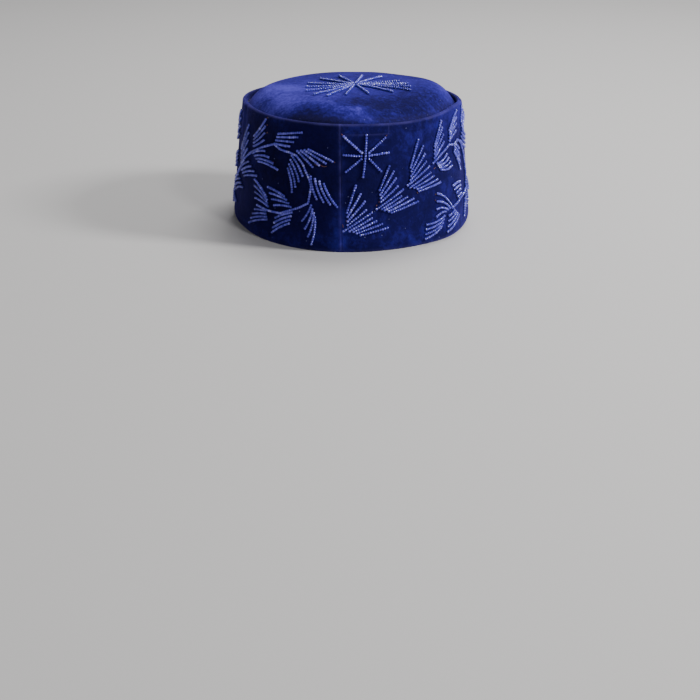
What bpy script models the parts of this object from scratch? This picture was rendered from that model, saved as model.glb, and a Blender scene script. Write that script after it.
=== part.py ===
"""Beaded cap: a velvet pillbox cap with a sunk, domed crown and sewn bead motifs.

Metres, +Z up. The cap stands on its hem at z = 0. The seam of the band is at the centre back, at -Y, and the
wearer faces +Y. The plan is an egg, narrower at the back. Every bead motif is drawn on the cloth in two
measures: the turn round the band in degrees of its girth, 0 at the back seam and positive towards +X, and the
rise in percent of the band's height.
"""

import math

import bmesh
import bpy
import numpy as np
from mathutils import Vector
from mathutils.geometry import delaunay_2d_cdt

# Band
HALF_WIDTH = 0.0865
HALF_LENGTH = 0.1
BAND_HEIGHT = 0.0866
TOP_HALF_WIDTH = 0.0787
BACK_NARROWING = 0.07
WALL = 0.003
HEM_TUCK = 0.0012
HEM_ROLL = 0.007
RIM_RADIUS = 0.0018

# Crown, with the gap that its edge keeps from the rim
GAP = 0.0003
CROWN_SINK = 0.0045
CROWN_RISE = 0.016
CROWN_FLATNESS = 7
CROWN_CLOTH = 0.0025
CROWN_HALF_WIDTH = TOP_HALF_WIDTH - 2 * RIM_RADIUS - GAP
CROWN_HALF_LENGTH = HALF_LENGTH * TOP_HALF_WIDTH / HALF_WIDTH - 2 * RIM_RADIUS - GAP

# Bead strings and the thread that holds them together; a stitch laps over the string by this share
STRING_RADIUS = 0.00095
ROOT_STITCH_WIDTH = 0.0018
STITCH_LAP = 1.4
MOTIF_GAP = 0.0005

# Mesh fineness, and the scale of flat sheets while their strips are run together
MM = 1000
COLUMNS = 48
CROWN_RINGS = (0.25, 0.5, 0.72, 0.86, 0.95, 0.99)
STRAIGHT_TURN = 6.5
CROWN_STRING_PIECES = 3

# The rim dips and lifts a little all round, as soft cloth does
RIM_WAVES = (
    # turn, spread in degrees, lift as a share of the band's height
    (-80, 24, 0.014),
    (34, 15, -0.006),
    (76, 17, 0.026),
    (180, 100, -0.036),
)

# Soft swellings and hollows of the band's face
BAND_WAVES = (
    # turn, spread in degrees, rise and its spread in percent, depth as a share of the wall
    (-50, 14, 60, 35, -0.25),
    (-14, 12, 30, 30, 0.20),
    (26, 12, 75, 25, -0.25),
    (60, 16, 25, 30, 0.30),
    (-100, 20, 45, 40, 0.25),
    (125, 22, 60, 40, -0.25),
    (175, 24, 40, 40, 0.25),
    (54, 18, 4, 35, 0.80),
    (-62, 18, 4, 35, -0.60),
)

# Dents and folds of the crown: middle as shares of the half width and half length, heading of the fold in
# degrees from +X, its two reaches as shares of the half width, and its lift as a share of the crown's rise
CROWN_FOLDS = (
    # across, along, heading, long reach, wide reach, lift
    (0.30, -0.62, 20, 0.30, 0.13, -0.13),
    (-0.02, -0.70, -12, 0.34, 0.09, 0.07),
    (-0.45, -0.30, 35, 0.40, 0.20, -0.07),
    (0.55, 0.05, 80, 0.40, 0.20, 0.07),
    (0.10, 0.60, -15, 0.45, 0.16, -0.07),
    (-0.35, 0.55, 30, 0.35, 0.20, 0.06),
    (0.88, 0.10, 90, 0.80, 0.26, 0.34),
    (-0.42, 0.20, 90, 0.70, 0.36, -0.20),
    (0.15, 0.25, 90, 0.50, 0.14, 0.06),
)

# Starburst on the crown: heading from +X and reach as a share of the half width, and the same for its eye,
# where the strings begin
CROWN_STAR_MIDDLE = (0.035, -0.116)
CROWN_STAR_EYE = 0.02
CROWN_STAR = (
    (-1, 0.44), (19, 0.38), (58, 0.38), (85, 0.37), (111, 0.49), (131, 0.50), (159, 0.44), (182, 0.41),
    (206, 0.43), (234, 0.51), (249, 0.51), (265, 0.44), (290, 0.41), (320, 0.43), (337, 0.51), (347, 0.48),
)

# Star on the band: turn and rise from the star's middle to each arm's inner and outer end
BAND_STAR = (
    # inner turn, inner rise, outer turn, outer rise
    (-1.3, 2, -10.2, 16),
    (-1.3, 0, -10.3, 1),
    (-1.6, -1.6, -9, -12.5),
    (1.1, 2, 9.6, 14.2),
    (1.1, 0.2, 11.4, 1.9),
    (1.1, -1.4, 7.5, -13),
)
BAND_STAR_UPRIGHT = ((0.4, 17), (0, 0), (-1.2, -17))

# Palm fans of nine strings: turn and rise of each root and tip from the root of the middle string
LOW_FAN = (
    # root turn, root rise, tip turn, tip rise
    (1.7, 14.3, 5.7, 37.4),
    (1.9, 11.2, 7.9, 30.5),
    (1.9, 7.7, 9.8, 24.6),
    (1.8, 4.8, 10.4, 17.6),
    (0, 0, 12.9, 15.3),
    (2.6, 0.2, 12.9, 10.9),
    (4.3, -0.2, 14.9, 8.3),
    (5.6, -1.4, 17.5, 5.7),
    (7.1, -2.8, 20, 2.1),
)
MID_FAN = (
    (1.6, 14.6, 6.9, 34.3),
    (1.8, 10.9, 9.1, 29.7),
    (2, 8.1, 10.1, 24.1),
    (2, 5.5, 11, 17.6),
    (0, 0, 13.7, 14.4),
    (2.3, -0.1, 12.6, 9.3),
    (3.6, -1.3, 15.8, 8),
    (5.5, -2.2, 19.1, 5.8),
    (6.8, -3.4, 21.5, 2.8),
)
HIGH_FAN = (
    (2.3, 13.3, 7.6, 36.1),
    (2.5, 10.2, 10.5, 29.9),
    (2.1, 6.6, 11.5, 23.3),
    (1.7, 3.5, 12.1, 16.9),
    (0, 0, 14.1, 12.5),
    (1.2, -1.9, 14.6, 7.2),
    (3.5, -2.8, 16.9, 3.8),
    (5.3, -4, 19.1, 0.1),
    (6.2, -5.8, 21, -3.1),
)

# Vine left of the seam: the stem, then leaf sprays of four strings. A row gives the root and the tip of the
# first string and of the last, and the others lie evenly between them; bow is the arch of a string in percent
# of its length, to the left of its heading
VINE_STEM = (
    # turn, rise
    (-82, 21), (-79.5, 31.5), (-72.5, 40.5), (-66.5, 49.5), (-61.5, 57.5), (-53.5, 66), (-43, 73.5),
    (-34, 79), (-30, 76), (-25, 75), (-20.5, 73.5), (-17, 67.5), (-13.5, 56), (-12.5, 51), (-13.5, 37.5),
    (-18, 33), (-28, 25.5), (-36, 25), (-45, 26),
)
VINE_LEAVES = (
    # first root, first tip, last root, last tip (turn, rise each), bow
    ((-32, 87.5), (-17.5, 92), (-34, 79.5), (-24, 79.5), 0),
    ((-15, 79.5), (-2.7, 71), (-20.5, 77.5), (-11.8, 65.5), 2),
    ((-23.3, 73.5), (-16.6, 57.5), (-25, 63), (-21.8, 43.5), 6),
    ((-7, 54.5), (-0.5, 35.5), (-13, 59.5), (-9.5, 40.5), -5),
    ((-12, 37), (-16.4, 22.5), (-10.3, 28), (-11.8, 4.5), 6),
    ((-25.5, 39.5), (-37.3, 43.7), (-21.5, 32.5), (-32.3, 30.5), -4),
    ((-20.8, 28.5), (-31, 20.5), (-22.2, 19.5), (-32.6, 8), -4),
    ((-37, 35), (-49, 45.5), (-35.3, 28), (-47, 31), -5),
    ((-37, 24), (-46.8, 21.5), (-35.5, 17.8), (-52, 8), -3),
    ((-52, 79), (-41, 97), (-52, 71), (-41.6, 80), -3),
    ((-52.5, 65.2), (-40.3, 71.3), (-46.3, 61), (-30.4, 59.2), 5),
)
VINE_TAIL = (
    ((-67.3, 62.5), (-58, 87), (-66.5, 51), (-58, 67.5), 3),
    ((-67.3, 47.5), (-55.8, 57.2), (-61.3, 43), (-46.3, 49), 3),
    ((-79.5, 35), (-70, 40.5), (-76.2, 25.6), (-62, 33.2), 4),
    ((-86, 79), (-76, 92), (-84.5, 65), (-74, 73), 3),
    ((-83, 52), (-74, 59), (-81, 43), (-75, 49.5), 3),
    ((-86, 22), (-84, 11), (-81, 20), (-73.5, 16), -4),
)

# Vine right of the fans, hanging closer to the hem
RIGHT_STEM = (
    (47, 63), (54, 68.5), (61.5, 73), (66.5, 71), (72, 73), (76, 69), (79, 62.5),
    (81.5, 56), (83.5, 42), (81.5, 30), (75.5, 27.5), (71, 27.3), (65.5, 25), (58.5, 22.8),
)
RIGHT_LEAVES = (
    ((49, 75.5), (55.7, 95.3), (48.2, 66.5), (57.2, 77.7), 1),
    ((49.8, 62), (59.2, 67.2), (52.5, 56.7), (63.3, 56), -9),
    ((62.4, 83.5), (73, 96.4), (61.8, 75.4), (70.7, 81), 4),
    ((67.5, 71), (73.2, 65), (66, 66), (73.2, 47.5), 6),
    ((80.5, 79), (91, 71), (76, 71), (86, 62), -3),
    ((79.5, 84), (84.5, 97), (82, 77.5), (92, 88), 3),
    ((71.2, 39.3), (61.5, 39.5), (72, 30), (65.5, 28.8), -4),
    ((84, 38), (92, 24), (78, 23), (73.5, 9), 4),
    ((58.9, 23.5), (48.4, 38.7), (54, 22.2), (46.8, 20), -10),
    ((52.7, 19.5), (40.6, 16), (50.5, 12), (39.6, 4.8), 6),
    ((61.3, 20.6), (55.3, 18), (65.6, 15), (53.5, 5.5), 6),
)
LEAF_STRINGS = 4

# Where each motif sits: turn and rise of the place that its chart is drawn from
BACK_STAR = (11.3, 75.7)
FANS = {
    "low": (1.5, 16.6, LOW_FAN),
    "mid": (15.7, 33.4, MID_FAN),
    "high": (31, 49.7, HIGH_FAN),
}
FRONT_SHIFT = 154
FRONT_VINE_RIGHT = 155.5
FRONT_VINE_LEFT = -101

SWATCHES = {
    "velvet_royal_blue": ((0.012, 0.018, 0.20, 1.0), 0.95),
    "glass_beads_periwinkle": ((0.13, 0.18, 0.62, 1.0), 0.25),
}


def narrowing(angle):
    """Share of the half width left by the egg's taper to the back; its widest place keeps the whole."""
    return (1 - BACK_NARROWING * np.cos(angle)) / (1 + BACK_NARROWING**2 / 2)


def outline(angle, half_width, half_length):
    """Egg-shaped plan: angle 0 is the centre back, a quarter turn is the +X side."""
    return half_width * np.sin(angle) * narrowing(angle), -half_length * np.cos(angle)


def girth_table():
    """Plan angles and the turns they lie at, by length along the outline, for two whole rounds."""
    angle = np.linspace(-2 * math.pi, 2 * math.pi, 2881)
    x, y = outline(angle, HALF_WIDTH, HALF_LENGTH)
    length = np.concatenate([[0], np.cumsum(np.hypot(np.diff(x), np.diff(y)))])
    turn = (length / length[-1] - 0.5) * 720
    return angle, turn


ANGLES, TURNS = girth_table()


def angle_at(turn):
    return np.interp(turn, TURNS, ANGLES)


def turn_at(angle):
    return np.interp(angle, ANGLES, TURNS)


def around(turn, middle):
    """Degrees from a middle, the short way round."""
    return (turn - middle + 180) % 360 - 180


def rim_height(turn):
    """Height of the rim's ridge, with its soft waves."""
    lift = sum(share * np.exp(-((around(turn, middle) / spread) ** 2)) for middle, spread, share in RIM_WAVES)
    return BAND_HEIGHT * (1 + lift)


def band_swell(turn, rise):
    """How far the cloth stands out of the plain band."""
    swell = np.zeros(np.broadcast(turn, rise).shape)
    for middle, spread, level, tall, share in BAND_WAVES:
        away = (around(turn, middle) / spread) ** 2 + ((rise - level) / tall) ** 2
        swell = swell + share * WALL * np.exp(-away)
    return swell


def band_place(turn, rise, inset=0.0):
    """Place in the band: inset is the depth below the outer face."""
    height = rim_height(turn) * rise / 100
    half_width = HALF_WIDTH + (TOP_HALF_WIDTH - HALF_WIDTH) * rise / 100
    half_length = HALF_LENGTH * half_width / HALF_WIDTH
    out = band_swell(turn, rise) - inset
    x, y = outline(angle_at(turn), half_width + out, half_length + out)
    return np.stack(np.broadcast_arrays(x, y, height), -1)


def crown_place(turn, share, drop=0.0):
    """Place on the crown: share is 0 at the middle and 1 at the edge, drop the depth below the top side."""
    x, y = outline(angle_at(turn), (CROWN_HALF_WIDTH - drop) * share, (CROWN_HALF_LENGTH - drop) * share)
    edge = BAND_HEIGHT + (rim_height(turn) - BAND_HEIGHT) * share**2 - CROWN_SINK
    height = edge + CROWN_RISE * (1 - share**CROWN_FLATNESS) + crown_folds(x, y) * (1 - share**4) - drop
    return np.stack(np.broadcast_arrays(x, y, height), -1)


def crown_folds(x, y):
    """Lift of the crown's dents and folds: long, narrow Gaussian swellings."""
    lift = np.zeros(np.broadcast(x, y).shape)
    for across, along, heading, long_reach, wide_reach, share in CROWN_FOLDS:
        aim = math.radians(heading)
        dx = x - across * HALF_WIDTH
        dy = y - along * HALF_LENGTH
        down_fold = (dx * math.cos(aim) + dy * math.sin(aim)) / (long_reach * HALF_WIDTH)
        over_fold = (dy * math.cos(aim) - dx * math.sin(aim)) / (wide_reach * HALF_WIDTH)
        lift = lift + share * CROWN_RISE * np.exp(-(down_fold**2) - over_fold**2)
    return lift


def crown_share(x, y):
    """Turn and share of a place given by its plan coordinates, found in a few rounds."""
    angle = np.arctan2(x / CROWN_HALF_WIDTH, -y / CROWN_HALF_LENGTH)
    for _ in range(8):
        width = CROWN_HALF_WIDTH * narrowing(angle)
        angle = np.arctan2(x / width, -y / CROWN_HALF_LENGTH)
    return turn_at(angle), np.hypot(x / width, y / CROWN_HALF_LENGTH)


def on_band(turn, rise, lift):
    """Points that stand off the band's face, square to the cloth."""
    step = 0.5
    along = band_place(turn + step, rise) - band_place(turn - step, rise)
    up = band_place(turn, rise + step) - band_place(turn, rise - step)
    square = np.cross(along, up)
    square = square / np.linalg.norm(square, axis=-1, keepdims=True)
    return band_place(turn, rise) + square * lift


def on_crown(x, y, lift):
    """Points that stand off the crown, square to the cloth."""
    def at(px, py):
        turn, share = crown_share(px, py)
        return crown_place(turn, share)

    step = HALF_WIDTH / 100
    square = np.cross(at(x + step, y) - at(x - step, y), at(x, y + step) - at(x, y - step))
    square = square / np.linalg.norm(square, axis=-1, keepdims=True)
    return at(x, y) + square * lift


def swatch(name):
    """Principled material of one finish."""
    colour, roughness = SWATCHES[name]
    material = bpy.data.materials.get(name) or bpy.data.materials.new(name)
    material.use_nodes = True
    shader = material.node_tree.nodes["Principled BSDF"]
    shader.inputs["Base Color"].default_value = colour
    shader.inputs["Roughness"].default_value = roughness
    shader.inputs["Metallic"].default_value = 0.0
    return material


def finish(obj, name, finish_name):
    """Names an object, gives it its finish and puts it in the cap's collection."""
    obj.name = name
    obj.data.name = name
    obj.data.materials.clear()
    obj.data.materials.append(swatch(finish_name))
    for holder in list(obj.users_collection):
        holder.objects.unlink(obj)
    bpy.data.collections["beaded_cap"].objects.link(obj)
    return obj


def carry(obj, places):
    """Moves every vertex of a primitive to its place in the piece."""
    obj.data.vertices.foreach_set("co", places.astype(np.float32).ravel())
    obj.data.update()
    obj.data.shade_smooth()


def vertices_of(obj):
    places = np.empty(len(obj.data.vertices) * 3, dtype=np.float32)
    obj.data.vertices.foreach_get("co", places)
    return places.reshape(-1, 3).astype(float)


def columns_of(start):
    """Column of each vertex of a round primitive, counted from the centre back."""
    turn = np.degrees(np.arctan2(start[:, 1], start[:, 0])) + 90
    return np.rint(turn * COLUMNS / 360).astype(int) % COLUMNS


def band_section(turn):
    """Closed section of the band: the outer face from the hem up, over the rolled rim and down inside.
    Each row holds the inset and the rise in percent."""
    height = rim_height(turn)

    def percent(metres):
        return 100 * metres / height

    flat = np.zeros_like(turn)
    rows = [(flat + HEM_TUCK, flat)]
    rows += [(flat + 0.3 * HEM_TUCK, percent(0.3 * HEM_ROLL)), (flat, percent(HEM_ROLL))]
    rows += [(flat, flat + level) for level in (28, 50, 72, 90)]
    for step in range(5):
        bend = math.pi * step / 4
        rows.append(
            (
                flat + RIM_RADIUS * (1 - math.cos(bend)),
                percent(height - RIM_RADIUS * (1 - math.sin(bend))),
            )
        )
    rows.append((flat + 2 * RIM_RADIUS, percent(height - 2 * CROWN_SINK)))
    rows += [(flat + WALL, flat + 50), (flat + WALL, flat)]
    return np.array([inset for inset, _ in rows]), np.array([rise for _, rise in rows])


def build_band():
    """A torus whose round section is carried to the band's section, column by column."""
    turns = np.arange(COLUMNS) * 360 / COLUMNS
    inset, rise = band_section(turns)
    rows = len(inset)
    bpy.ops.mesh.primitive_torus_add(
        major_segments=COLUMNS, minor_segments=rows, major_radius=1.0, minor_radius=0.5
    )
    band = bpy.context.object
    start = vertices_of(band)
    column = columns_of(start)
    tilt = np.arctan2(start[:, 2], np.hypot(start[:, 0], start[:, 1]) - 1.0)
    row = np.rint(tilt * rows / (2 * math.pi)).astype(int) % rows
    carry(band, band_place(turns[column], rise[row, column], inset[row, column]))
    finish(band, "side_band", "velvet_royal_blue")


def build_crown():
    """A ball flattened into a shell: its upper half is the crown's top and its lower half the underside."""
    rings = 2 * (len(CROWN_RINGS) + 1)
    bpy.ops.mesh.primitive_uv_sphere_add(segments=COLUMNS, ring_count=rings, radius=1.0)
    crown = bpy.context.object
    start = vertices_of(crown)
    turn = columns_of(start) * 360 / COLUMNS
    ring = np.rint(np.arccos(np.clip(start[:, 2], -1, 1)) * rings / math.pi).astype(int)
    shares = np.array((0.0, *CROWN_RINGS, 1.0, *reversed(CROWN_RINGS), 0.0))
    below = ring > rings // 2
    places = crown_place(turn, shares[ring], np.where(below, CROWN_CLOTH, 0.0))
    carry(crown, places)
    finish(crown, "crown_top", "velvet_royal_blue")


def strip(path, width):
    """Flat outline of a path: one side out and the other side back, anticlockwise."""
    path = np.asarray(path, float)
    run = np.gradient(path, axis=0)
    run = run / np.linalg.norm(run, axis=1, keepdims=True)
    side = np.column_stack([run[:, 1], -run[:, 0]]) * width / 2
    return np.vstack([path + side, (path - side)[::-1]])


def flat_sheet(strips):
    """All strips run together into one flat sheet, with no corner left inside its outline."""
    points, loops = [], []
    for corners in strips:
        loops.append(list(range(len(points), len(points) + len(corners))))
        points += [Vector(corner * MM) for corner in corners]
    flat, _, faces, _, _, sources = delaunay_2d_cdt(points, [], loops, 1, 0.001, True)
    sheet = bmesh.new()
    corners = [sheet.verts.new((*point, 0.0)) for point in flat]
    for face, source in zip(faces, sources):
        if source:
            sheet.faces.new([corners[index] for index in face])
    inner = [edge for edge in sheet.edges if len(edge.link_faces) == 2]
    bmesh.ops.dissolve_edges(sheet, edges=inner, use_verts=False, use_face_split=False)
    loose = [corner for corner in sheet.verts if not corner.link_faces]
    bmesh.ops.delete(sheet, geom=loose, context="VERTS")
    bmesh.ops.triangulate(sheet, faces=sheet.faces)
    return sheet


def relief(name, strips, place):
    """One body for a whole motif: a flat sheet of strips, laid on the cloth and given the thickness of a
    bead."""
    sheet = flat_sheet(strips)
    mesh = bpy.data.meshes.new(name)
    sheet.to_mesh(mesh)
    sheet.free()
    motif = bpy.data.objects.new(name, mesh)
    carry(motif, place(vertices_of(motif)[:, :2] / MM, MOTIF_GAP))
    thickness = motif.modifiers.new("bead", "SOLIDIFY")
    thickness.thickness = 2 * STRING_RADIUS
    thickness.offset = 1.0
    finish(motif, name, "glass_beads_periwinkle")


def band_scale():
    """Metres in one degree of the girth, and in one percent of the height."""
    x, y = outline(ANGLES, (HALF_WIDTH + TOP_HALF_WIDTH) / 2, HALF_LENGTH)
    girth = np.hypot(np.diff(x), np.diff(y)).sum() / 2
    return np.array([girth / 360, BAND_HEIGHT / 100])


def band_chart(chart, lift):
    """Places on the band for points of its chart, which is drawn in metres along the cloth."""
    turn, rise = (chart / band_scale()).T
    return on_band(turn, rise, lift)


def crown_chart(chart, lift):
    return on_crown(*chart.T, lift)


def string_path(root, tip, bow=0.0):
    """Path of a string from root to tip in the band's chart, arched by bow percent of its length."""
    root, tip = np.array(root, float), np.array(tip, float)
    pieces = max(2 if bow else 1, math.ceil(abs(tip[0] - root[0]) / STRAIGHT_TURN))
    share = np.linspace(0, 1, pieces + 1)[:, None]
    start, end = root * band_scale(), tip * band_scale()
    run = end - start
    arch = 4 * share * (1 - share) * bow / 100
    return start + run * share + arch * np.array([-run[1], run[0]])


def band_string(root, tip, bow=0.0):
    return strip(string_path(root, tip, bow), 2 * STRING_RADIUS)


def thread(points):
    return strip(np.array(points) * band_scale(), ROOT_STITCH_WIDTH)


def leaf_strings(first_root, first_tip, last_root, last_tip):
    """Roots and tips of a leaf's strings, spread evenly from the first to the last."""
    share = np.linspace(0, 1, LEAF_STRINGS)[:, None]
    roots = np.array(first_root) + (np.array(last_root) - first_root) * share
    tips = np.array(first_tip) + (np.array(last_tip) - first_tip) * share
    return roots, tips


def build_vine(name, stem, leaves, turn=0.0):
    """Stem and leaf sprays, with a thread from the stem along the roots of every leaf."""
    shift = np.array([turn, 0.0])
    stem = np.array(stem) + shift
    strips = [strip(stem * band_scale(), 2 * STRING_RADIUS)]
    for first_root, first_tip, last_root, last_tip, bow in leaves:
        roots, tips = leaf_strings(first_root, first_tip, last_root, last_tip)
        roots, tips = roots + shift, tips + shift
        strips += [band_string(root, tip, bow) for root, tip in zip(roots, tips)]
        ends = roots[[0, -1]]
        gaps = np.linalg.norm((stem[:, None] - ends[None]) * band_scale(), axis=-1)
        near, end = np.unravel_index(np.argmin(gaps), gaps.shape)
        strips += [thread([stem[near], ends[end]]), thread([ends[end], ends[1 - end]])]
    relief(name, strips, band_chart)


def build_fan(name, turn, rise, chart):
    place = np.array([turn, rise])
    fan = np.array(chart)
    strips = [band_string(place + row[:2], place + row[2:]) for row in fan]
    strips += [thread(place + fan[[row, row + 1], :2]) for row in range(len(fan) - 1)]
    relief(name, strips, band_chart)


def build_band_star(name, turn, rise):
    place = np.array([turn, rise])
    strips = [strip((place + np.array(BAND_STAR_UPRIGHT)) * band_scale(), 2 * STRING_RADIUS)]
    for arm in np.array(BAND_STAR):
        strips += [band_string(place + arm[:2], place + arm[2:]), thread([place, place + arm[:2] * STITCH_LAP])]
    relief(name, strips, band_chart)


def build_crown_star():
    middle = np.array(CROWN_STAR_MIDDLE) * HALF_WIDTH
    strips = []
    for heading, reach in CROWN_STAR:
        aim = np.array([math.cos(math.radians(heading)), math.sin(math.radians(heading))])
        out = np.linspace(CROWN_STAR_EYE, reach, CROWN_STRING_PIECES + 1)[:, None] * HALF_WIDTH * aim
        strips.append(strip(middle + out, 2 * STRING_RADIUS))
        strips.append(strip([middle, middle + out[0] * STITCH_LAP], ROOT_STITCH_WIDTH))
    relief("crown_star", strips, crown_chart)


def main():
    for obj in list(bpy.data.objects):
        bpy.data.objects.remove(obj)
    bpy.context.scene.collection.children.link(bpy.data.collections.new("beaded_cap"))
    build_band()
    build_crown()
    build_crown_star()
    build_band_star("back_star", *BACK_STAR)
    build_band_star("front_star", BACK_STAR[0] + FRONT_SHIFT, BACK_STAR[1])
    for level, (turn, rise, chart) in FANS.items():
        build_fan("fan_" + level, turn, rise, chart)
        build_fan("front_fan_" + level, turn + FRONT_SHIFT, rise, chart)
    build_vine("vine_left", VINE_STEM, VINE_LEAVES + VINE_TAIL)
    build_vine("vine_right", RIGHT_STEM, RIGHT_LEAVES)
    build_vine("vine_front_right", VINE_STEM[5:], VINE_LEAVES, FRONT_VINE_RIGHT)
    build_vine("vine_front_left", VINE_STEM[5:], VINE_LEAVES, FRONT_VINE_LEFT)


main()
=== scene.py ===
# %% [markdown]
# # A velvet cap with sewn glass beads
#
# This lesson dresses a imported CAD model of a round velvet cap. The real cap is a tall band of stiffened
# velvet, a soft crown set inside its rolled rim, and several thousand small glass beads sewn on in stars,
# fans and leafy vines. The CAD solids hold the shape for weight and touch. Here the same surfaces are worked
# out again, much finer, and covered in pile, beads and thread.

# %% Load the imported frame
import math

import bpy
import numpy as np
from mathutils import Matrix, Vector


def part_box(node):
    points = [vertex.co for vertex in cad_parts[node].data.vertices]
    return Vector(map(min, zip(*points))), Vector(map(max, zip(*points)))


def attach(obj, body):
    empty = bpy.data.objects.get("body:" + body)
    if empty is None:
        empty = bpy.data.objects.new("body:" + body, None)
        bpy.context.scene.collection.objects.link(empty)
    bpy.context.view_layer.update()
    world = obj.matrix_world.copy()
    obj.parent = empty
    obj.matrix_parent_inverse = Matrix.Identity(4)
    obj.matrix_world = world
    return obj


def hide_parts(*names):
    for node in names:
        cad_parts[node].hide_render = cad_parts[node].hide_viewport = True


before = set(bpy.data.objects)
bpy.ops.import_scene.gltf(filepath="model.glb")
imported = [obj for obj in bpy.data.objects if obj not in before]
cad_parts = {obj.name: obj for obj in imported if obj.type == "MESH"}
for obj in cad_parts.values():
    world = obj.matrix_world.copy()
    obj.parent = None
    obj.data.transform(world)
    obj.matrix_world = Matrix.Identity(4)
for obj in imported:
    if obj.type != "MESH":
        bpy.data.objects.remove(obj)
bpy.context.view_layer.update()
band_low, band_high = (np.array(corner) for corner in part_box("side_band"))
print("CAD pieces:", len(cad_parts), "band from", band_low.round(4), "to", band_high.round(4))

# %% [markdown]
# ## The sizes of the cap
#
# All pieces sit on two surfaces, the band and the crown. Their sizes are the ones that the solids were made
# with, in metres, and each is named once. Places on the band are given in two measures: the turn, in degrees
# of the girth from the seam at the back, and the rise, in percent of the band's height.

# %% Sizes
HALF_WIDTH = 0.0865
HALF_LENGTH = 0.1
BAND_HEIGHT = 0.0866
TOP_HALF_WIDTH = 0.0787
BACK_NARROWING = 0.07
WALL = 0.003
HEM_TUCK = 0.0012
HEM_ROLL = 0.007
RIM_RADIUS = 0.0018
CROWN_SINK = 0.0045
CROWN_RISE = 0.016
CROWN_FLATNESS = 7
CROWN_CLOTH = 0.0025
CROWN_GAP = 0.0003
CROWN_HALF_WIDTH = TOP_HALF_WIDTH - 2 * RIM_RADIUS - CROWN_GAP
CROWN_HALF_LENGTH = HALF_LENGTH * TOP_HALF_WIDTH / HALF_WIDTH - 2 * RIM_RADIUS - CROWN_GAP
MILLIMETRE = 0.001

RIM_WAVES = (
    # turn, spread in degrees, lift as a share of the band's height
    (-80, 24, 0.014),
    (34, 15, -0.006),
    (76, 17, 0.026),
    (180, 100, -0.036),
)
BAND_WAVES = (
    # turn, spread in degrees, rise and its spread in percent, depth as a share of the wall
    (-50, 14, 60, 35, -0.25),
    (-14, 12, 30, 30, 0.20),
    (26, 12, 75, 25, -0.25),
    (60, 16, 25, 30, 0.30),
    (-100, 20, 45, 40, 0.25),
    (125, 22, 60, 40, -0.25),
    (175, 24, 40, 40, 0.25),
    (54, 18, 4, 35, 0.80),
    (-62, 18, 4, 35, -0.60),
)
CROWN_FOLDS = (
    # across, along, heading, long reach, wide reach, lift
    (0.30, -0.62, 20, 0.30, 0.13, -0.13),
    (-0.02, -0.70, -12, 0.34, 0.09, 0.07),
    (-0.45, -0.30, 35, 0.40, 0.20, -0.07),
    (0.55, 0.05, 80, 0.40, 0.20, 0.07),
    (0.10, 0.60, -15, 0.45, 0.16, -0.07),
    (-0.35, 0.55, 30, 0.35, 0.20, 0.06),
    (0.88, 0.10, 90, 0.80, 0.26, 0.34),
    (-0.42, 0.20, 90, 0.70, 0.36, -0.20),
    (0.15, 0.25, 90, 0.50, 0.14, 0.06),
)

# %% [markdown]
# ## The plan of the cap
#
# A head is an oval that is a little narrower at one end, so the plan is an ellipse whose width tapers towards
# the back. Walking round it in equal steps of angle would crowd the beads at the ends. A table of the length
# walked so far turns the angle into the turn, which is even along the cloth.


# %% The plan and its even measure
def narrowing(angle):
    """Share of the half width: one, less the taper times the cosine of the angle, scaled so that the widest
    place keeps the whole."""
    return (1 - BACK_NARROWING * np.cos(angle)) / (1 + BACK_NARROWING**2 / 2)


def outline(angle, half_width, half_length):
    """Plan of the cap: x is half width times sine times the taper, y is minus half length times cosine."""
    return half_width * np.sin(angle) * narrowing(angle), -half_length * np.cos(angle)


ANGLES = np.linspace(-2 * math.pi, 2 * math.pi, 2881)
walked = np.concatenate([[0], np.cumsum(np.hypot(*np.diff(outline(ANGLES, HALF_WIDTH, HALF_LENGTH))))])
TURNS = (walked / walked[-1] - 0.5) * 720
GIRTH = walked[-1] / 2 * (1 + TOP_HALF_WIDTH / HALF_WIDTH) / 2
DEGREE = GIRTH / 360
PERCENT = BAND_HEIGHT / 100
print(f"girth at mid height {GIRTH * 1000:.0f} mm, one degree of turn {DEGREE * 1000:.2f} mm")


def around(turn, middle):
    """Degrees from a middle, the short way round."""
    return (turn - middle + 180) % 360 - 180


# %% [markdown]
# ## The surface of the band
#
# The cloth is not a perfect cone. The rim dips and lifts, the wall swells a little between the beads, and
# the pile bunches where the rim was turned. Each such form is a smooth bump, high in the middle and fading
# to both sides, and the band adds them up. Small wrinkles under the rim follow the same rule with short
# spreads. The seam at the back leans a little, and a line is pressed in under the rim beside it.

# %% Band surface
RIM_WRINKLES = (
    # turn, spread in degrees, rise and its spread in percent, depth in millimetres
    (35.5, 1.5, 93, 8, -0.5),
    (38.5, 1.3, 95, 9, 0.4),
    (42.5, 1.6, 93, 10, -0.6),
    (46, 1.4, 95, 8, 0.4),
    (50, 1.8, 92, 9, -0.4),
    (-66, 1.6, 92, 12, -0.4),
    (-70, 1.5, 90, 14, 0.4),
    (-75, 1.8, 92, 12, -0.4),
    (104, 2.2, 93, 10, -0.5),
    (131, 2.0, 94, 9, 0.4),
    (-118, 2.0, 93, 10, -0.5),
    (-160, 2.2, 94, 9, 0.4),
)
# Where no millimetres are named, turns are in degrees and rises in percent
SEAM_RIDGE = 0.3 * MILLIMETRE
SEAM_GROOVE = 0.35 * MILLIMETRE
SEAM_LEAN = 1.4
CREASE_DEPTH = 0.3 * MILLIMETRE
CREASE_TURN, CREASE_RISE, CREASE_WIDE = 11.5, 92.4, 0.55
UPRIGHT_TURN, UPRIGHT_RISE, UPRIGHT_WIDE, UPRIGHT_TALL = 22.6, 96, 0.35, 3.6


def bump(away):
    """Smooth bump: e to the minus the distance squared."""
    return np.exp(-(away**2))


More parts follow.
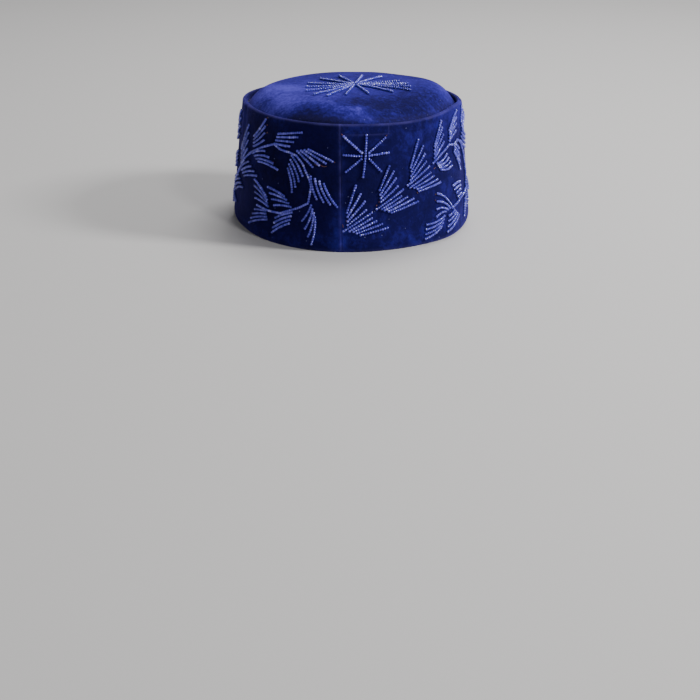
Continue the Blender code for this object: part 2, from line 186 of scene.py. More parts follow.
def rim_height(turn):
    """Height of the rim: the band's height times one plus the sum of its waves."""
    return BAND_HEIGHT * (1 + sum(share * bump(around(turn, at) / spread) for at, spread, share in RIM_WAVES))


def band_swell(turn, rise):
    """How far the cloth stands out: the sum of the broad waves, as shares of the wall."""
    return sum(
        share * WALL * bump(around(turn, at) / spread) * bump((rise - level) / tall)
        for at, spread, level, tall, share in BAND_WAVES
    )


def band_crease(turn, rise):
    """Line pressed in under the rim beside the seam: a bump across it, kept between its ends, and a short
    upright at its far end."""
    long_line = bump((rise - CREASE_RISE) / CREASE_WIDE)
    long_line = long_line * bump((around(turn, CREASE_TURN) / CREASE_TURN) ** 6)
    upright = bump(around(turn, UPRIGHT_TURN) / UPRIGHT_WIDE)
    return long_line + upright * bump(((rise - UPRIGHT_RISE) / UPRIGHT_TALL) ** 4)


def off_seam(turn, rise):
    """Degrees from the seam, which leans: it stands off at the hem and comes to nought at the rim."""
    return around(turn, SEAM_LEAN * (1 - rise / 100))


def band_detail(turn, rise):
    """Small forms of the face: wrinkles under the rim, the seam, which is a fine groove between two soft
    ridges, and the pressed line."""
    wrinkles = sum(
        depth * MILLIMETRE * bump(around(turn, at) / spread) * bump((rise - level) / tall)
        for at, spread, level, tall, depth in RIM_WRINKLES
    )
    aside = off_seam(turn, rise) * DEGREE / MILLIMETRE
    seam = SEAM_RIDGE * bump(aside / 2.2) - SEAM_GROOVE * bump(aside / 0.45)
    return wrinkles + seam - CREASE_DEPTH * band_crease(turn, rise)


def band_place(turn, rise, inset=0.0, detail=0.0):
    """Place in the band: the plan at that height, moved out by swell and detail and in by the inset."""
    share = rise / 100
    half_width = HALF_WIDTH + (TOP_HALF_WIDTH - HALF_WIDTH) * share
    half_length = HALF_LENGTH * half_width / HALF_WIDTH
    out = band_swell(turn, rise) + detail - inset
    x, y = outline(np.interp(turn, TURNS, ANGLES), half_width + out, half_length + out)
    return np.stack(np.broadcast_arrays(x, y, rim_height(turn) * share), -1)


# %% [markdown]
# ## The surface of the crown
#
# The crown is a soft lid. It starts a few millimetres below the rim, climbs steeply at its edge and is nearly
# flat in the middle, which is what a high power of the distance from the middle gives. Long narrow bumps make
# the folds that soft velvet keeps.


# %% Crown surface
def crown_folds(x, y):
    """Lift of the folds: for each, a bump over the distance along and the distance across its heading."""
    lift = 0.0
    for across, along, heading, long_reach, wide_reach, share in CROWN_FOLDS:
        aim = math.radians(heading)
        dx, dy = x - across * HALF_WIDTH, y - along * HALF_LENGTH
        down_fold = (dx * math.cos(aim) + dy * math.sin(aim)) / (long_reach * HALF_WIDTH)
        over_fold = (dy * math.cos(aim) - dx * math.sin(aim)) / (wide_reach * HALF_WIDTH)
        lift = lift + share * CROWN_RISE * bump(down_fold) * bump(over_fold)
    return lift


def crown_place(turn, share, drop=0.0):
    """Place on the crown: the plan times the share, and a height that falls off with a high power of it."""
    x, y = outline(
        np.interp(turn, TURNS, ANGLES), (CROWN_HALF_WIDTH - drop) * share, (CROWN_HALF_LENGTH - drop) * share
    )
    edge = BAND_HEIGHT + (rim_height(turn) - BAND_HEIGHT) * share**2 - CROWN_SINK
    dome = CROWN_RISE * (1 - share**CROWN_FLATNESS) + crown_folds(x, y) * (1 - share**4)
    return np.stack(np.broadcast_arrays(x, y, edge + dome - drop), -1)


def crown_share(x, y):
    """Turn and share of a plan place: its angle is found again a few times as the taper settles."""
    angle = np.arctan2(x / CROWN_HALF_WIDTH, -y / CROWN_HALF_LENGTH)
    for _ in range(8):
        width = CROWN_HALF_WIDTH * narrowing(angle)
        angle = np.arctan2(x / width, -y / CROWN_HALF_LENGTH)
    return np.interp(angle, ANGLES, TURNS), np.hypot(x / width, y / CROWN_HALF_LENGTH)


print(f"crown top at {crown_place(0.0, 0.0)[2] * 1000:.1f} mm")

# %% [markdown]
# ## From arrays to meshes
#
# A grid of places becomes a mesh in three steps: the places go in as one long row of numbers, the faces as
# one long row of corner numbers, and each face says where its corners start. Blender takes whole arrays, so
# even a large mesh is made at once. Values that a material reads later, such as how the pile lies and where
# light and shade are painted into the cloth, are stored at each vertex as an attribute.


# %% Mesh helpers
def grid_faces(rows, columns, rows_close=False):
    """Four-cornered faces of a grid whose columns close into a ring, and its rows too if asked."""
    row = np.arange(rows if rows_close else rows - 1)[:, None]
    column = np.arange(columns)[None]
    beside = (column + 1) % columns
    start, above = row * columns, (row + 1) % rows * columns
    corners = [start + column, start + beside, above + beside, above + column]
    return np.stack(corners, -1).reshape(-1, 4)


def make_piece(name, places, faces, attributes=None, finishes=(), finish_of_faces=None):
    """Object from places and a list of face arrays, one array for each number of corners."""
    mesh = bpy.data.meshes.new(name)
    mesh.vertices.add(len(places))
    mesh.vertices.foreach_set("co", np.asarray(places, np.float32).ravel())
    corners = np.concatenate([array.ravel() for array in faces]).astype(np.int32)
    totals = np.concatenate([np.full(len(array), array.shape[1]) for array in faces])
    mesh.loops.add(len(corners))
    mesh.loops.foreach_set("vertex_index", corners)
    mesh.polygons.add(len(totals))
    mesh.polygons.foreach_set("loop_start", (np.cumsum(totals) - totals).astype(np.int32))
    mesh.polygons.foreach_set("use_smooth", np.ones(len(totals), bool))
    for finish in finishes:
        mesh.materials.append(finish)
    if finish_of_faces is not None:
        mesh.polygons.foreach_set("material_index", finish_of_faces.astype(np.int32))
    mesh.update(calc_edges=True)
    for key, values in (attributes or {}).items():
        stored = mesh.attributes.new(key, "FLOAT", "POINT")
        stored.data.foreach_set("value", np.asarray(values, np.float32).ravel())
    piece = bpy.data.objects.new(name, mesh)
    bpy.context.scene.collection.objects.link(piece)
    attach(piece, "root")
    print(f"{name}: {len(places)} vertices, {len(totals)} faces")
    return piece


# %% [markdown]
# ## Colours and nodes
#
# Colours are read off as sRGB hex values, as on a paint card, and one function turns them to the linear
# values that light is worked out in. One more function adds a node, sets it and links it.


# %% Colour and node helpers
def linear(code):
    """Linear colour of an sRGB hex code: the low end is a straight line, the rest a power of 2.4."""
    srgb = np.array([int(code[at : at + 2], 16) for at in (0, 2, 4)]) / 255
    return (*np.where(srgb <= 0.04045, srgb / 12.92, ((srgb + 0.055) / 1.055) ** 2.4), 1.0)


def add_node(tree, kind, values=None, links=None, **settings):
    """Node of a kind, with its own settings, the values of its sockets, and what is linked to them."""
    made = tree.nodes.new(kind)
    for key, value in settings.items():
        setattr(made, key, value)
    for socket, value in (values or {}).items():
        made.inputs[socket].default_value = value
    for socket, source in (links or {}).items():
        tree.links.new(source, made.inputs[socket])
    return made


def new_finish(name, values):
    """Material whose shader has the even values on its own sockets; gives it, its nodes and the shader."""
    finish = bpy.data.materials.new(name)
    finish.use_nodes = True
    shader = finish.node_tree.nodes["Principled BSDF"]
    for socket, value in values.items():
        shader.inputs[socket].default_value = value
    return finish, finish.node_tree, shader


def set_ramp(ramp, stops):
    """Colours of a ramp: each stop is a place from 0 to 1 and a linear colour."""
    while len(ramp.elements) < len(stops):
        ramp.elements.new(0.5)
    for element, (place, colour) in zip(ramp.elements, stops):
        element.position, element.color = place, colour


# %% [markdown]
# ## Cotton velvet
#
# Velvet is woven with a short pile that stands up from the cloth. Seen square on, the light falls between the
# fibres and the cloth is nearly black-blue. Seen along the surface, the sides of the fibres catch the light,
# so edges and the far side of the crown glow. The sheen of the shader does that. Where the pile was brushed
# or crushed it leans, and the cloth there turns lighter or darker in soft patches. One attribute holds that
# lean together with painted light and shade: the whole crown is lifted as if lit from above, the band high on
# the right is painted lighter, creases on the crown get a painted lit side, and the crown's edge under the
# rim gets painted shade. A second attribute lightens thin lines: painted highlights along the rim, the seam
# and beside the pressed line, and the fanned-out pile of the hem and a faint lighter ring on the crown.
# "tufted" says how far the pile parts into tufts, which is more on the handled crown than on the smooth band.
# The pile is about 0.3 mm apart, too fine for the picture, so its bump is drawn at 0.9 mm.

# %% Velvet
BAND_TUFTS, CROWN_TUFTS = 0.24, 0.58
# Strengths of the painted highlights on the rim, seam and pressed line, and of the hem's fuzz
RIM_HIGHLIGHT, HEM_FUZZ, SEAM_HIGHLIGHT, CREASE_HIGHLIGHT = 0.16, 0.16, 0.184, 0.10
# Crown: a faint lighter ring, painted shade at its edge, and a lift of its whole colour that is painted light
# from above
CROWN_FUZZ, CROWN_SHADE, CROWN_PAINTED_LIGHT = 0.05, 0.6, 0.3
velvet, tree, shader = new_finish(
    "cotton_velvet_royal_blue",
    {
        "Roughness": 0.9,
        "Specular IOR Level": 0.06,
        "Sheen Weight": 0.38,
        "Sheen Roughness": 0.35,
        "Sheen Tint": linear("7668EC"),
    },
)
places = add_node(tree, "ShaderNodeTexCoord")
# Attributes: the pile's lean with painted light and shade, thin lighter lines that are mostly painted
# highlights, and tufting
nap = add_node(tree, "ShaderNodeAttribute", attribute_name="nap")
fuzz = add_node(tree, "ShaderNodeAttribute", attribute_name="fuzz")
tufted = add_node(tree, "ShaderNodeAttribute", attribute_name="tufted")
# Brushed patches 30 mm across, and streaks of crushed pile 6 mm across
patches = add_node(
    tree,
    "ShaderNodeTexNoise",
    {"Scale": 33.0, "Detail": 4.0, "Roughness": 0.6},
    {"Vector": places.outputs["Object"]},
)
crush = add_node(
    tree,
    "ShaderNodeTexNoise",
    {"Scale": 160.0, "Detail": 3.0, "Roughness": 0.6, "Distortion": 0.6},
    {"Vector": places.outputs["Object"]},
)
# Tufts of pile that part from each other, 2 mm across
tufts = add_node(
    tree,
    "ShaderNodeTexNoise",
    {"Scale": 430.0, "Detail": 2.0, "Roughness": 0.7},
    {"Vector": places.outputs["Object"]},
)
uneven = add_node(tree, "ShaderNodeMath", {1: 0.5}, {0: tufts.outputs["Fac"]}, operation="SUBTRACT")
pile_lean_light_and_shade = add_node(tree, "ShaderNodeMath", {1: 0.55}, {0: patches.outputs["Fac"]}, operation="MULTIPLY")
pile_lean_light_and_shade = add_node(
    tree,
    "ShaderNodeMath",
    links={0: uneven.outputs[0], 1: tufted.outputs["Fac"], 2: pile_lean_light_and_shade.outputs[0]},
    operation="MULTIPLY_ADD",
)
pile_lean_light_and_shade = add_node(
    tree, "ShaderNodeMath", {1: 0.34}, {0: crush.outputs["Fac"], 2: pile_lean_light_and_shade.outputs[0]}, operation="MULTIPLY_ADD"
)
# Adds the attribute that holds the pile's lean together with the painted light and shade of the cloth
pile_lean_light_and_shade = add_node(
    tree, "ShaderNodeMath", {1: 0.5}, {0: nap.outputs["Fac"], 2: pile_lean_light_and_shade.outputs[0]}, operation="MULTIPLY_ADD"
)
depth_of_blue = add_node(tree, "ShaderNodeValToRGB", links={"Fac": pile_lean_light_and_shade.outputs[0]})
set_ramp(
    depth_of_blue.color_ramp,
    [(0.16, linear("070624")), (0.46, linear("110C46")), (0.69, linear("241D7A")), (0.99, linear("4E46B4"))],
)
# Lighter colour for the thin lines: painted highlights on the rim, seam and pressed line, the hem's fuzz and
# the crown's faint ring
edges = add_node(
    tree,
    "ShaderNodeMix",
    {7: linear("655CAE")},
    {0: fuzz.outputs["Fac"], 6: depth_of_blue.outputs["Color"]},
    data_type="RGBA",
)
# Specks of lint half a millimetre wide, one to every few square centimetres
lint = add_node(tree, "ShaderNodeTexVoronoi", {"Scale": 230.0}, {"Vector": places.outputs["Object"]})
lint_near = add_node(tree, "ShaderNodeMath", {1: 0.075}, {0: lint.outputs["Distance"]}, operation="LESS_THAN")
lint_chosen = add_node(
    tree, "ShaderNodeMath", {1: 0.62}, {0: lint.outputs["Color"]}, operation="GREATER_THAN"
)
lint_here = add_node(
    tree, "ShaderNodeMath", links={0: lint_near.outputs[0], 1: lint_chosen.outputs[0]}, operation="MULTIPLY"
)
speckled = add_node(
    tree,
    "ShaderNodeMix",
    {7: linear("666A9E")},
    {0: lint_here.outputs[0], 6: edges.outputs[2]},
    data_type="RGBA",
)
tree.links.new(speckled.outputs[2], shader.inputs["Base Color"])
pile = add_node(
    tree, "ShaderNodeTexNoise", {"Scale": 1100.0, "Detail": 2.0}, {"Vector": places.outputs["Object"]}
)
pile_bump = add_node(
    tree, "ShaderNodeBump", {"Strength": 0.5, "Distance": 0.4 * MILLIMETRE}, {"Height": pile.outputs["Fac"]}
)
crush_bump = add_node(
    tree,
    "ShaderNodeBump",
    {"Strength": 0.35, "Distance": 1.0 * MILLIMETRE},
    {"Height": crush.outputs["Fac"], "Normal": pile_bump.outputs["Normal"]},
)
tree.links.new(crush_bump.outputs["Normal"], shader.inputs["Normal"])
print("velvet has", len(tree.nodes), "nodes")

# %% [markdown]
# ## Lining
#
# Inside, such a cap is lined with a plain woven cotton, which is smoother than the velvet and takes the same
# dye a little greyer. Two wave patterns across each other draw the weave, about 2.5 mm apart, which is much
# coarser than real threads and keeps the pattern visible.

# %% Lining
lining, tree, shader = new_finish(
    "plain_woven_cotton_lining", {"Base Color": linear("0D1338"), "Roughness": 0.8, "Sheen Weight": 0.15}
)
places = add_node(tree, "ShaderNodeTexCoord")
weft, warp = (
    add_node(
        tree,
        "ShaderNodeTexWave",
        {"Scale": 130.0, "Distortion": 0.5},
        {"Vector": places.outputs["Object"]},
        bands_direction=direction,
    )
    for direction in ("Z", "DIAGONAL")
)
weave = add_node(
    tree, "ShaderNodeMath", links={0: weft.outputs["Fac"], 1: warp.outputs["Fac"]}, operation="MAXIMUM"
)
cotton_colour = add_node(tree, "ShaderNodeValToRGB", links={"Fac": weave.outputs[0]})
set_ramp(cotton_colour.color_ramp, [(0.0, linear("090D2A")), (1.0, linear("161E4C"))])
tree.links.new(cotton_colour.outputs["Color"], shader.inputs["Base Color"])
weave_bump = add_node(
    tree, "ShaderNodeBump", {"Strength": 0.3, "Distance": 0.2 * MILLIMETRE}, {"Height": weave.outputs[0]}
)
tree.links.new(weave_bump.outputs["Normal"], shader.inputs["Normal"])

# %% [markdown]
# ## The side band
#
# The band is a strip of velvet over a stiffener, joined at the back and turned over at the top, so the rim is
# a soft roll. It could be a bent plane with a Solidify modifier, but its hem, roll and lining side differ. So
# one closed section, drawn from the hem up, over the roll and down inside, is carried round the plan. The
# columns stand closer at the seam, where the groove is less than a millimetre wide.


# %% Side band
HEM_ROWS, FACE_ROWS, ROLL_ROWS, LINING_ROWS = 7, 110, 13, 4
# Where the rim's painted highlight lies, how far the hem's fuzz reaches, and how wide the seam's painted
# highlight is
RIM_HIGHLIGHT_RISE, RIM_HIGHLIGHT_TALL, HEM_FUZZ_TALL, SEAM_HIGHLIGHT_WIDE = 99.4, 0.8, 1.6, 0.7


def band_section(turn):
    """Inset and rise of the section at each turn: the hem curves out with a cube, the face is straight, the
    roll is a half circle and the inside comes back down."""
    height = rim_height(turn)[None]

    def level(metres):
        return 100 * metres / height

    bend = np.linspace(0, math.pi, ROLL_ROWS)[:, None]
    hem = np.linspace(0, 1, HEM_ROWS)[:, None]
    face = np.linspace(0, 1, FACE_ROWS)[1:-1, None]
    low, high = level(HEM_ROLL), level(height - RIM_RADIUS)
    inset = [HEM_TUCK * (1 - hem) ** 3, 0 * face, RIM_RADIUS * (1 - np.cos(bend))]
    rise = [low * hem, low + (high - low) * face, level(height - RIM_RADIUS * (1 - np.sin(bend)))]
    inset += [np.array([2 * RIM_RADIUS, 2 * RIM_RADIUS, WALL, WALL])[:, None]]
    rise += [level(height - CROWN_SINK), level(height - 2 * CROWN_SINK), 50, 0]
    inset = np.concatenate([rows + 0 * height for rows in inset])
    return inset, np.concatenate([rows + 0 * height for rows in rise])


def band_nap_light_and_shade(turn, rise):
    """Lightness of the band, partly the lean of the pile and partly painted light and shade: patches of a
    given place, spread and lightness.
    """
    patches = (
        # turn, spread, rise, spread, lightness
        (0.7, 3, 50, 80, 0.25),
        (16, 17, 96, 5, 0.04),
        (38, 14, 88, 14, 0.13),
        (-4, 5, 60, 60, -0.15),
        (-30, 20, 55, 30, -0.35),
        (8, 12, 60, 22, -0.30),
        (30, 16, 50, 25, 0.03),
        (20, 25, 5, 12, 0.08),
        (-40, 30, 4, 10, 0.20),
        (62, 12, 40, 40, 0.10),
        # Painted light: the band high on the right, where the light from that side falls
        (64, 16, 92, 16, 0.30),
        (84, 14, 92, 20, 0.34),
        (-72, 8, 90, 14, 0.30),
        (110, 30, 60, 40, -0.10),
        (160, 20, 85, 20, 0.20),
        (-120, 25, 80, 25, 0.15),
        (-150, 30, 30, 30, -0.20),
    )
    return sum(
        lift * bump(around(turn, at) / wide) * bump((rise - level) / tall)
        for at, wide, level, tall, lift in patches
    )


seam_turns = np.linspace(-4, 4, 65)[:-1]
turns = np.concatenate([seam_turns, np.linspace(4, 30, 91)[:-1], np.linspace(30, 356, 520)[:-1]])
inset, rise = band_section(turns)
on_face = bump(inset / (0.5 * WALL)) * (rise < 100)
places = band_place(turns[None], rise, inset, band_detail(turns[None], rise) * on_face)
rows, columns = inset.shape
# Painted highlights along the rim, on the seam and just beyond the pressed line, where their ridges catch the
# light, and fuzz along the hem, where the pile fans out
# Painted highlight along the top of the roll, made stronger and weaker by turns round the cap
rim_highlight = bump((rise - RIM_HIGHLIGHT_RISE) / RIM_HIGHLIGHT_TALL) * (inset < 1.6 * RIM_RADIUS)
rim_highlight_uneven = 1 + 0.5 * np.sin(np.radians(7 * turns)) * np.sin(np.radians(19 * turns + 40))
hem_fuzz = bump(rise / HEM_FUZZ_TALL) * (inset < 1.2 * HEM_TUCK)
# Painted highlight as a soft line just beside the seam, uneven up its height
seam_highlight_uneven = 0.65 + 0.35 * np.sin(rise / 6) * np.sin(rise / 2.3)
seam_highlight = bump((off_seam(turns[None], rise) + 0.3) / SEAM_HIGHLIGHT_WIDE) * seam_highlight_uneven
seam_highlight = seam_highlight * (rise > 0) * (inset < RIM_RADIUS)
# Painted highlight just beyond the pressed line
crease_highlight = band_crease(turns[None] - 0.15, rise + 0.4) * on_face
fuzz = RIM_HIGHLIGHT * rim_highlight * rim_highlight_uneven + HEM_FUZZ * hem_fuzz
fuzz = fuzz + SEAM_HIGHLIGHT * seam_highlight + CREASE_HIGHLIGHT * crease_highlight
faces = grid_faces(rows, columns, rows_close=True)
face_rows = np.repeat(np.arange(rows), columns)
# The last rows run down inside and back to the hem, and are lining
side_band = make_piece(
    "velvet_side_band",
    places.reshape(-1, 3),
    [faces],
    {
        "nap": band_nap_light_and_shade(turns[None], rise),
        "tufted": np.full(rise.shape, BAND_TUFTS),
        "fuzz": np.clip(fuzz, 0, 1),
    },
    [velvet, lining],
    face_rows >= rows - LINING_ROWS,
)
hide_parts("side_band")

# %% [markdown]
# ## The crown
#
# The crown is an oval of the same velvet, padded so that it domes. A pole in the middle and rings around it
# suit its outline better than a square grid, because the outer ring then follows the rim. The underside is
# the lining, and both sides meet at the edge.


# %% Crown
TOP_RINGS, UNDER_RINGS, CROWN_COLUMNS = 70, 20, 360
CREASE_SHARPNESS = 14
# Width of the painted shade at the crown's edge, and place and width of its faint lighter ring
SHADE_WIDE, LIGHT_RING_AT, LIGHT_RING_WIDE = 0.045, 0.94, 0.03


def crown_nap_light_and_shade(x, y):
    """Lightness of the crown, partly the lean of the pile and partly painted light and shade, in plan: places
    and spreads are shares of the half width.
    """
    patches = (
        # across, along, heading, long reach, wide reach, lightness
        (-0.40, -0.58, 4, 0.34, 0.18, 0.50),
        (0.06, -0.88, 8, 0.20, 0.08, 0.10),
        (-0.24, -0.91, -16, 0.26, 0.07, -0.36),
        (-0.66, -0.44, 35, 0.06, 0.04, -0.30),
        (0.10, -0.68, -8, 0.16, 0.07, -0.22),
        (0.42, -0.66, 32, 0.34, 0.17, -0.28),
        (0.30, -0.40, 0, 0.30, 0.12, -0.12),
        (0.66, -0.40, 60, 0.25, 0.16, -0.16),
        (-0.60, -0.20, 80, 0.40, 0.22, 0.36),
        (-0.15, -0.15, 0, 0.50, 0.20, 0.34),
        (0.50, 0.05, 30, 0.40, 0.20, 0.15),
        (0.72, 0.10, 85, 0.34, 0.14, 0.26),
        (-0.20, 0.80, 10, 0.50, 0.20, -0.20),
    )
    # Painted light on one side of each crease, fading away from it
    creases = (
        # from (across, along) to (across, along), reach of the light side, lightness
        (0.12, -0.77, 0.29, -0.94, -0.10, 0.34),
        (-0.22, -0.62, 0.02, -0.84, -0.10, 0.24),
        (-0.04, -0.80, 0.17, -0.79, -0.06, 0.20),
    )
    # The whole crown starts lighter than the band: painted light from above
    pile_lean_light_and_shade = CROWN_PAINTED_LIGHT
    for across, along, heading, long_reach, wide_reach, lift in patches:
        aim = math.radians(heading)
        dx, dy = x - across * HALF_WIDTH, y - along * HALF_WIDTH
        down = (dx * math.cos(aim) + dy * math.sin(aim)) / (long_reach * HALF_WIDTH)
        over = (dy * math.cos(aim) - dx * math.sin(aim)) / (wide_reach * HALF_WIDTH)
        pile_lean_light_and_shade = pile_lean_light_and_shade + lift * bump(down) * bump(over)
    for x0, y0, x1, y1, reach, lift in creases:
        run = math.hypot(x1 - x0, y1 - y0)
        dx, dy = x / HALF_WIDTH - (x0 + x1) / 2, y / HALF_WIDTH - (y0 + y1) / 2
        down = (dx * (x1 - x0) + dy * (y1 - y0)) / run
        over = (dy * (x1 - x0) - dx * (y1 - y0)) / run
        one_side = 1 / (1 + np.exp(-np.clip(over / reach * CREASE_SHARPNESS, -30, 30)))
        pile_lean_light_and_shade = pile_lean_light_and_shade + lift * one_side * bump(over / reach) * bump((2 * down / run) ** 3)
    return pile_lean_light_and_shade


turns = np.linspace(0, 360, CROWN_COLUMNS + 1)[:-1]
top_rings = np.sin(np.linspace(0, math.pi / 2, TOP_RINGS + 1)[1:])
under_rings = np.sin(np.linspace(math.pi / 2, 0, UNDER_RINGS + 1)[:-1])
share = np.concatenate([top_rings, under_rings])[:, None]
drop = np.concatenate([0 * top_rings, 0 * under_rings + CROWN_CLOTH])[:, None]
rings = crown_place(turns[None], share, drop)
poles = np.stack([crown_place(0.0, 0.0), crown_place(0.0, 0.0, CROWN_CLOTH)])
places = np.concatenate([rings.reshape(-1, 3), poles])
columns = len(turns)
last = share.size * columns
here = np.arange(columns)
beside = (here + 1) % columns
top_fan = np.stack([here, beside, np.full(columns, last)], -1)
under_fan = np.stack([last - columns + beside, last - columns + here, np.full(columns, last + 1)], -1)
quads = grid_faces(share.size, columns)[:, ::-1]
under = np.repeat(np.arange(share.size - 1) >= len(top_rings), columns)
finish_of_faces = np.concatenate([0 * here, 1 + 0 * here, under])
# Near the rim the pile is darkened, a painted shade where the crown sinks under the rim, and a ring inside
# that is a little lighter
reach = np.hypot(places[:, 0], places[:, 1] * HALF_WIDTH / HALF_LENGTH) / CROWN_HALF_WIDTH
crown = make_piece(
    "velvet_crown",
    places,
    [top_fan, under_fan, quads],
    {
        "nap": crown_nap_light_and_shade(places[:, 0], places[:, 1]) - CROWN_SHADE * bump((reach - 1) / SHADE_WIDE),
        "tufted": np.full(len(places), CROWN_TUFTS),
        "fuzz": CROWN_FUZZ * bump((reach - LIGHT_RING_AT) / LIGHT_RING_WIDE),
    },
    [velvet, lining],
    finish_of_faces,
)
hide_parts("crown_top")

# %% [markdown]
# ## Places on the cloth
#
# A bead sits square to the cloth, so each place also needs the direction that points away from it. Stepping a
# little along the band and a little up it gives two directions in the cloth, and their cross product stands
# square to both. The same works on the crown, with steps along x and y.


# %% Places on the cloth
def square_to(first, second):
    """Unit direction square to two steps in the cloth: their cross product over its length."""
    square = np.cross(first, second)
    return square / np.linalg.norm(square, axis=-1, keepdims=True)


def on_band(turn, rise):
    """Place on the band's face and the direction out of it, from steps of 0.4 degrees and percent."""
    step = 0.4

    def at(there, level):
        return band_place(there, level, 0.0, band_detail(there, level))

    round_it = at(turn + step, rise) - at(turn - step, rise)
    up_it = at(turn, rise + step) - at(turn, rise - step)
    return at(turn, rise), square_to(round_it, up_it)


def on_crown(x, y):
    """Place on the crown and the direction out of it."""
    step = MILLIMETRE

    def at(px, py):
        return crown_place(*crown_share(px, py))

    return at(x, y), square_to(at(x + step, y) - at(x - step, y), at(x, y + step) - at(x, y - step))


# %% [markdown]
# ## Beads on a string
#
# The beads are size 11 seed beads, 1.9 mm across and 1.7 mm from one to the next, threaded and laid on the
# velvet. Each string starts as a line in the chart of the cloth. It is laid on the surface as a fine row of
# places, measured, and cut into steps of one bead. Every bead is the same small barrel, turned to lie along
# its string, with a little difference in size, tilt and tint, because glass beads are chopped from a drawn
# tube.

# %% Bead shape
BEAD_WIDTH = 1.9 * MILLIMETRE
BEAD_PITCH = 1.7 * MILLIMETRE
BEAD_SINK = 0.12 * MILLIMETRE
BEAD_TILT, BEAD_UNEVEN, BEAD_STRAY = 0.06, 0.03, 0.05 * MILLIMETRE
BEAD_TINT, STRING_TINT = 0.6, 0.4
LAID_STEPS = 25
SIDES = 8
along = np.array([-0.76, -0.48, 0.0, 0.48, 0.76]) * MILLIMETRE
girth_of_bead = np.array([0.38, 0.82, 1.0, 0.82, 0.38]) * BEAD_WIDTH / 2
angle = np.arange(SIDES) * 2 * math.pi / SIDES
bead_places = np.stack(
    [
        np.repeat(along, SIDES),
        (girth_of_bead[:, None] * np.cos(angle)).ravel(),
        (girth_of_bead[:, None] * np.sin(angle)).ravel(),
    ],
    -1,
)
bead_sides = grid_faces(len(along), SIDES)[:, ::-1]
bead_ends = np.stack([np.arange(SIDES), (len(along) - 1) * SIDES + np.arange(SIDES)[::-1]])[:, ::-1]
chance = np.random.default_rng(11)


# %% Strings of beads
def laid_path(chart, surface):
    """Even places along a path: lay it finely on the cloth, add up its length, step along it by the pitch."""
    fine = np.linspace(0, 1, LAID_STEPS * (len(chart) - 1) + 1) * (len(chart) - 1)
    known = np.arange(len(chart))
    line = np.stack([np.interp(fine, known, chart[:, part]) for part in (0, 1)], -1)
    place, out = surface(*line.T)
    length = np.concatenate([[0], np.cumsum(np.linalg.norm(np.diff(place, axis=0), axis=1))])
    beads = max(2, int(round(length[-1] / BEAD_PITCH)))
    at = (np.arange(beads) + 0.5) * length[-1] / beads
    centre = np.stack([np.interp(at, length, place[:, part]) for part in range(3)], -1)
    ahead = np.stack([np.interp(at, length, np.gradient(place[:, part], length)) for part in range(3)], -1)
    out = np.stack([np.interp(at, length, out[:, part]) for part in range(3)], -1)
    ahead /= np.linalg.norm(ahead, axis=1, keepdims=True)
    return centre, ahead, out


def bead_motif(name, paths, surface, node):
    """One mesh for a motif: every path gives bead places, and the barrel is turned and copied to each."""
    laid = [laid_path(np.asarray(path, float), surface) for path in paths]
    centre, ahead, out = (np.concatenate([string[part] for string in laid]) for part in range(3))
    string_of_bead = np.repeat(np.arange(len(laid)), [len(string[0]) for string in laid])
    count = len(centre)
    side = np.cross(out, ahead)
    side /= np.linalg.norm(side, axis=1, keepdims=True)
    tilt = chance.normal(0, BEAD_TILT, (count, 2))
    ahead = ahead + side * tilt[:, :1] + out * tilt[:, 1:]
    ahead /= np.linalg.norm(ahead, axis=1, keepdims=True)
    side = np.cross(out, ahead)
    side /= np.linalg.norm(side, axis=1, keepdims=True)
    up = np.cross(ahead, side)
    size = chance.normal(1.0, BEAD_UNEVEN, (count, 1))
    off_line = side * chance.normal(0, BEAD_STRAY, (count, 1))
    centre = centre + out * (BEAD_WIDTH / 2 * size - BEAD_SINK) + off_line
    roll = chance.uniform(0, 2 * math.pi, (count, 1, 1))
    local = bead_places[None] * size[:, :, None]
    across = local[..., 1:2] * np.cos(roll) - local[..., 2:] * np.sin(roll)
    high = local[..., 1:2] * np.sin(roll) + local[..., 2:] * np.cos(roll)
    places = centre[:, None] + local[..., :1] * ahead[:, None] + across * side[:, None] + high * up[:, None]
    shift = (np.arange(count) * len(bead_places))[:, None, None]
    sides = (bead_sides[None] + shift).reshape(-1, 4)
    ends = (bead_ends[None] + shift).reshape(-1, SIDES)
    tint = chance.uniform(0, 1, count) * BEAD_TINT
    tint = tint + chance.uniform(0, STRING_TINT, len(laid))[string_of_bead]
    motif = make_piece(
        name, places.reshape(-1, 3), [sides, ends], {"tint": np.repeat(tint, len(bead_places))}, [glass_bead]
    )
    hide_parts(node)
    print(f"{name}: {count} beads on {len(laid)} strings")


# %% [markdown]
# ## Periwinkle glass
#
# The beads are soda glass, coloured right through and fire polished, so they are smooth and shine. Glass has
# an index of refraction of about 1.5. Each bead is so small that what shows is its colour and one bright
# point, so the glass is drawn as a glossy body rather than a clear one. Its tint differs from bead to bead.

# %% Glass
glass_bead, tree, shader = new_finish(
    "soda_glass_periwinkle",
    {
        "Roughness": 0.13,
        "IOR": 1.52,
        "Coat Weight": 0.85,
        "Coat Roughness": 0.08,
        "Coat Tint": linear("DADDFF"),
    },
)
tint = add_node(tree, "ShaderNodeAttribute", attribute_name="tint")
bead_colour = add_node(tree, "ShaderNodeValToRGB", links={"Fac": tint.outputs["Fac"]})
set_ramp(
    bead_colour.color_ramp,
    [(0.0, linear("3A389C")), (0.45, linear("5C58C4")), (0.8, linear("807CE4")), (1.0, linear("C0BEFC"))],
)
tree.links.new(bead_colour.outputs["Color"], shader.inputs["Base Color"])

